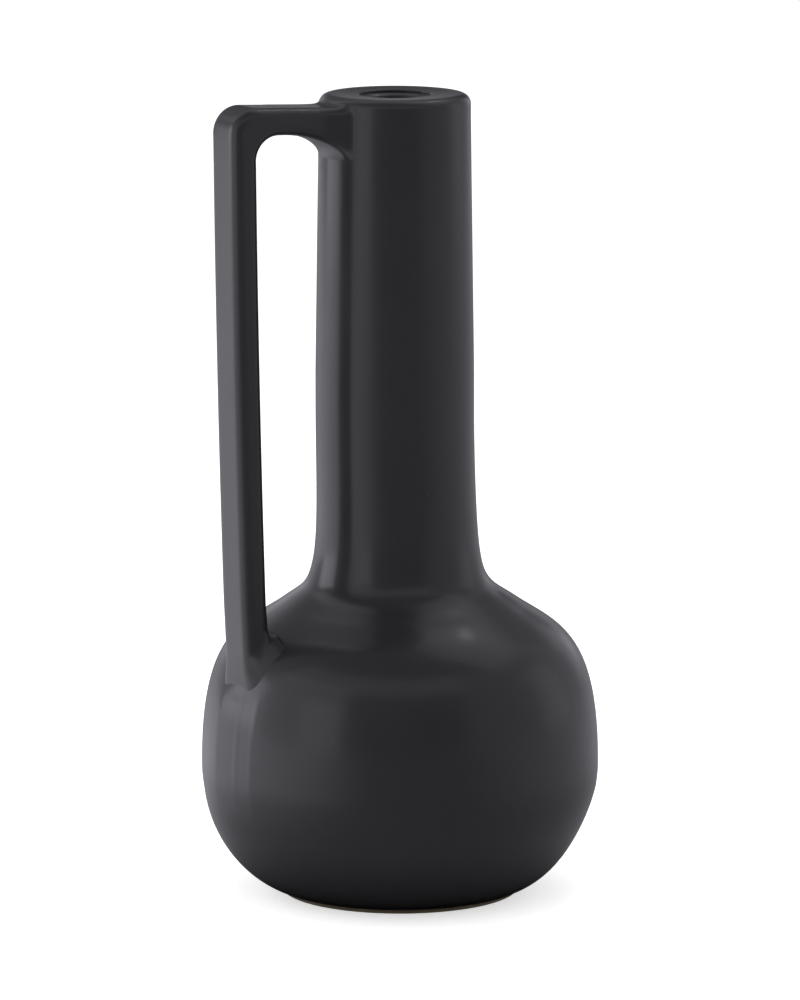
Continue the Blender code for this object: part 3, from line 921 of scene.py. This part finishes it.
# %% [markdown]
# ## Camera
#
# The picture is an upright one of 800 by 1000 points, taken from well back with a long lens,
# a little above the vase. The handle points to the left and somewhat towards the viewer.

# %% Place the camera
VIEW_TURN = radians(-28.7)
VIEW_RISE = radians(9.97)
VIEW_DISTANCE = 2.5
VIEW_TARGET = Vector((0, 0, 0.1476))
LENS = 241.6
SENSOR = 36


def direction(turn, rise=0.0):
    """Unit vector at a turn about +Z, from the side that faces -Y, and a rise above level."""
    return Vector((sin(turn) * cos(rise), -cos(turn) * cos(rise), sin(rise)))


lens = bpy.data.cameras.new("camera")
lens.lens = LENS
lens.sensor_width = SENSOR
lens.sensor_fit = "AUTO"
lens.clip_start = 0.1
lens.clip_end = 50
camera = put("camera", lens)
bpy.context.scene.camera = camera
camera.location = VIEW_TARGET + VIEW_DISTANCE * direction(VIEW_TURN, VIEW_RISE)
camera.rotation_euler = (-direction(VIEW_TURN, VIEW_RISE)).to_track_quat("-Z", "Y").to_euler()
print("camera sees", round(SENSOR / LENS * VIEW_DISTANCE * 1000), "mm of height at the vase")

# %% [markdown]
# ## Light
#
# Large soft lamps stand left, right, before and above the vase and light it evenly. A black
# glaze shows what it mirrors more than its own colour, so that is set apart: the soft lamps
# are not mirrored, and a tent, which is made further down, carries the bright windows that
# the glaze mirrors as painted reflections, which light nothing. Only the small lamp that
# gives the spark on the rim is mirrored itself. Each lamp is listed with its turn from the
# camera, its rise, its width and height, and how bright its face looks, so that the plan of
# the studio can be read off the list.

# %% Lamps
LAMP_DISTANCE = 1.3
LAMP_WATTS = 4  # per square metre of a lamp whose face shows as 1, which is white
AIM = Vector((0, 0, 0.15))


def lamp(name, turn, rise, width, height, radiance, distance=LAMP_DISTANCE):
    """A soft box that faces the vase; its radiance is how bright its face looks."""
    data = bpy.data.lights.new(name, "AREA")
    data.shape = "RECTANGLE"
    data.size = width
    data.size_y = height
    data.energy = radiance * LAMP_WATTS * width * height
    box = put(name, data)
    way = direction(VIEW_TURN + radians(turn), radians(rise))
    box.location = AIM + distance * way
    box.rotation_euler = (-way).to_track_quat("-Z", "Y").to_euler()
    box.visible_camera = False
    return box


for row in (("soft_box_left", -105, 12, 1.2, 1.5, 1.3), ("soft_box_right", 105, 14, 1.1, 1.6, 0.6),
            ("soft_box_above", 170, 78, 1.2, 1.2, 0.9), ("soft_box_before", -30, 40, 1.2, 0.8, 0.35)):
    lamp(*row).visible_glossy = False
lamp("spark", 143, 58, 0.10, 0.10, 5, distance=1.6)

# %% [markdown]
# ## Floor and background
#
# The background is plain white. The world shows white to the camera, to mirror-like rays
# and to rays through glass, and gives everything else an even grey. The floor is pale and
# keeps the vase's soft shadow.

# %% World
FILL = 0.6


def seen_directly(tree):
    """1 for camera, glossy and transmission rays, and 0 for the others."""
    path = add(tree, "ShaderNodeLightPath").outputs
    either = add(tree, "ShaderNodeMath", {0: path["Is Camera Ray"], 1: path["Is Glossy Ray"]},
                 operation="MAXIMUM")
    return add(tree, "ShaderNodeMath", {0: either.outputs[0], 1: path["Is Transmission Ray"]},
               operation="MAXIMUM").outputs[0]


world = bpy.data.worlds.new("studio")
bpy.context.scene.world = world
world.use_nodes = True
sky = world.node_tree
shine = sky.nodes["Background"]
shine.inputs["Color"].default_value = (1, 1, 1, 1)
strength = add(sky, "ShaderNodeMapRange", {"Value": seen_directly(sky), "To Min": FILL, "To Max": 1.0})
sky.links.new(strength.outputs[0], shine.inputs["Strength"])

# %% Floor
FLOOR_SIZE = 3.0
FLOOR_PAINT = "#f4f4f4"
FLOOR_GLOW = 0.6
ROUND_CORNERS = 64


def make_floor_paint():
    """Pale floor that looks white where it is lit and keeps shadows."""
    material, tree, shader = new_material("pale_floor_paint")
    shader.inputs["Base Color"].default_value = colour(FLOOR_PAINT)
    shader.inputs["Roughness"].default_value = 0.9
    shader.inputs["Emission Color"].default_value = (1, 1, 1, 1)
    glow = add(tree, "ShaderNodeMath", {0: seen_directly(tree), 1: FLOOR_GLOW}, operation="MULTIPLY")
    tree.links.new(glow.outputs[0], shader.inputs["Emission Strength"])
    return material


def round_sheet(name, radius, height, material):
    """A flat round stage piece at one height."""
    turns = [2 * pi * k / ROUND_CORNERS for k in range(ROUND_CORNERS)]
    corners = [(radius * cos(turn), radius * sin(turn), height) for turn in turns]
    mesh = bpy.data.meshes.new(name)
    mesh.from_pydata(corners, [], [range(ROUND_CORNERS)])
    mesh.materials.append(material)
    piece = put(name, mesh)
    return piece


round_sheet("floor", FLOOR_SIZE, 0, make_floor_paint())

# %% [markdown]
# ## The tent that the glaze mirrors
#
# A dome stands round the vase and a sheet lies on the table, and both carry painted
# reflections: they glow, light nothing, and mirror-like rays alone see them. Windows in the
# dome glow brighter, with soft edges, and paint the reflections of a tall soft box at the
# left and a little behind, a wide panel beside it, a weaker box at the right, and a band of
# light above the camera. They are listed with their turn from the camera, their rise, half
# their width and height, the softness of their edge, and their glow, which is painted shade
# where it is below zero.

# %% Painted reflections with soft windows
TENT_RADIUS = 2.2
TENT_GLOW = 0.22
TENT_TINT = colour("#f7f5ff")
TENT_WINDOWS = (
    ("key box", -106, 5, 14, 16, 4, 2.10),
    ("left panel", -63, 8, 29, 28, 5, 0.52),
    ("left strip", -48, 1, 13, 21, 6, 0.47),
    ("tall box left", -122, 50, 13, 24, 7, 0.70),
    ("far left", -152, 5, 18, 16, 8, 0.42),
    ("right panel", 88, 15, 48, 36, 8, 0.22),
    ("right box", 105, 8, 12, 20, 5, 0.34),
    ("far right", 149, 9, 10, 13, 5, 0.45),
    ("top right", 118, 62, 40, 16, 7, 0.50),
    ("band above the camera", -20, 42, 65, 10, 5, 0.38),
    ("behind and above", 180, 62, 35, 16, 8, 0.38),
    ("horizon behind", 180, 5, 30, 4, 3, 0.30),
    ("dark behind", 180, 20, 22, 9, 4, -0.16),
)


def soft_step(tree, value, half, soft, glow):
    """A value near zero gives the glow; it fades to nothing about half away."""
    size = add(tree, "ShaderNodeMath", {0: value}, operation="ABSOLUTE")
    return add(tree, "ShaderNodeMapRange",
               {"Value": size.outputs[0], "From Min": half - soft, "From Max": half + soft,
                "To Min": glow, "To Max": 0.0}, interpolation_type="SMOOTHSTEP").outputs[0]


def window(tree, way, name, turn, rise, half_width, half_height, soft, glow):
    """Glow of one window of painted reflection, for a direction from the vase."""
    turned = add(tree, "ShaderNodeVectorRotate",
                 {"Vector": way, "Angle": -(VIEW_TURN + radians(turn))}, rotation_type="Z_AXIS")
    axes = add(tree, "ShaderNodeSeparateXYZ", {0: turned.outputs[0]}).outputs
    front = add(tree, "ShaderNodeMath", {0: axes["Y"], 1: -1.0}, operation="MULTIPLY")
    aside = add(tree, "ShaderNodeMath", {0: axes["X"], 1: front.outputs[0]}, operation="ARCTAN2")
    up = add(tree, "ShaderNodeMath", {0: axes["Z"]}, operation="ARCSINE")
    above = add(tree, "ShaderNodeMath", {0: up.outputs[0], 1: radians(rise)}, operation="SUBTRACT")
    wide = soft_step(tree, aside.outputs[0], radians(half_width), radians(soft), 1.0)
    tall = soft_step(tree, above.outputs[0], radians(half_height), radians(soft), glow)
    return add(tree, "ShaderNodeMath", {0: wide, 1: tall}, operation="MULTIPLY",
               label=name).outputs[0]


def make_painted_glow(name):
    """Glow for painted reflections; its strength is linked later."""
    material, tree, shader = new_material(name)
    tree.nodes.remove(shader)
    glow = add(tree, "ShaderNodeEmission", {"Color": TENT_TINT})
    tree.links.new(glow.outputs[0], tree.nodes["Material Output"].inputs["Surface"])
    return material


def total_of(tree, values):
    """Sum of several sockets or numbers."""
    total = values[0]
    for value in values[1:]:
        total = add(tree, "ShaderNodeMath", {0: total, 1: value}, operation="ADD").outputs[0]
    return total


def mirrored_only(piece):
    """Only mirror-like rays see a piece of the tent."""
    piece.visible_camera = False
    piece.visible_diffuse = False
    piece.visible_shadow = False
    piece.visible_transmission = False


# %% The dome
def make_dome_painted_reflections():
    """Grey glow of painted reflections, with the tent's windows."""
    material = make_painted_glow("tent_painted_reflections")
    tree = material.node_tree
    place = add(tree, "ShaderNodeTexCoord").outputs["Object"]
    apart = add(tree, "ShaderNodeVectorMath", {0: place, 1: AIM}, operation="SUBTRACT")
    way = add(tree, "ShaderNodeVectorMath", {0: apart.outputs[0]}, operation="NORMALIZE").outputs[0]
    # Each window adds painted light that only the glaze's reflections show.
    glows = [window(tree, way, *row) for row in TENT_WINDOWS]
    tree.links.new(total_of(tree, [TENT_GLOW] + glows), tree.nodes["Emission"].inputs["Strength"])
    return material


dome_shape = bmesh.new()
bmesh.ops.create_uvsphere(dome_shape, u_segments=72, v_segments=36, radius=TENT_RADIUS,
                          matrix=Matrix.Translation(AIM))
dome_mesh = bpy.data.meshes.new("tent_dome")
dome_shape.to_mesh(dome_mesh)
dome_shape.free()
dome_mesh.materials.append(make_dome_painted_reflections())
dome = put("tent_dome", dome_mesh)
mirrored_only(dome)

# %% The sheet on the table
SHEET_HEIGHT = 0.0006
SHEET_RADIUS = 2.15
SHEET_GLOW = 0.27
# The sheet's glow is painted: painted light of the windows at its sides, and the vase's painted shadow
# by its foot.
SHEET_LEFT = (-92, 0.20, 1.00, 0.98)  # turn, cosines where the glow starts and is full, glow
SHEET_RIGHT = (108, 0.30, 0.95, 0.25)
SHEET_SHADE = (0.044, 0.095)  # distances from the axis where the vase's shade ends
SHEET_FAR = (0.04, 0.34)  # distances over which the sides' glow grows


def make_sheet_painted_reflection():
    """Painted reflection of the table: painted shadow by the vase, and painted light of the windows at
    its sides.
    """
    material = make_painted_glow("table_painted_reflection")
    tree = material.node_tree
    place = add(tree, "ShaderNodeTexCoord").outputs["Object"]
    way = add(tree, "ShaderNodeVectorMath", {0: place}, operation="NORMALIZE").outputs[0]
    far = add(tree, "ShaderNodeVectorMath", {0: place}, operation="LENGTH").outputs["Value"]
    # Painted shadow of the vase near the axis, and painted side light that grows with distance.
    shade, reach = [add(tree, "ShaderNodeMapRange", {"Value": far, "From Min": first, "From Max": last},
                        interpolation_type="SMOOTHSTEP").outputs[0]
                    for first, last in (SHEET_SHADE, SHEET_FAR)]
    sides = []
    for turn, first, last, glow in (SHEET_LEFT, SHEET_RIGHT):
        toward = add(tree, "ShaderNodeVectorMath", {0: way, 1: direction(VIEW_TURN + radians(turn))},
                     operation="DOT_PRODUCT")
        sides.append(add(tree, "ShaderNodeMapRange",
                         {"Value": toward.outputs["Value"], "From Min": first, "From Max": last,
                          "To Min": 0.0, "To Max": glow}, interpolation_type="SMOOTHSTEP").outputs[0])
    painted_side_light = add(tree, "ShaderNodeMath", {0: total_of(tree, sides), 1: reach}, operation="MULTIPLY")
    glow = total_of(tree, [SHEET_GLOW, painted_side_light.outputs[0]])
    lit = add(tree, "ShaderNodeMath", {0: glow, 1: shade}, operation="MULTIPLY")
    tree.links.new(lit.outputs[0], tree.nodes["Emission"].inputs["Strength"])
    return material


mirrored_only(round_sheet("sheet_on_the_table", SHEET_RADIUS, SHEET_HEIGHT, make_sheet_painted_reflection()))

# %% [markdown]
# ## Colour management
#
# Colours come out as they are written with the Standard view. The vase may not grow past
# its frame.

# %% Finish
bpy.context.scene.view_settings.view_transform = "Standard"
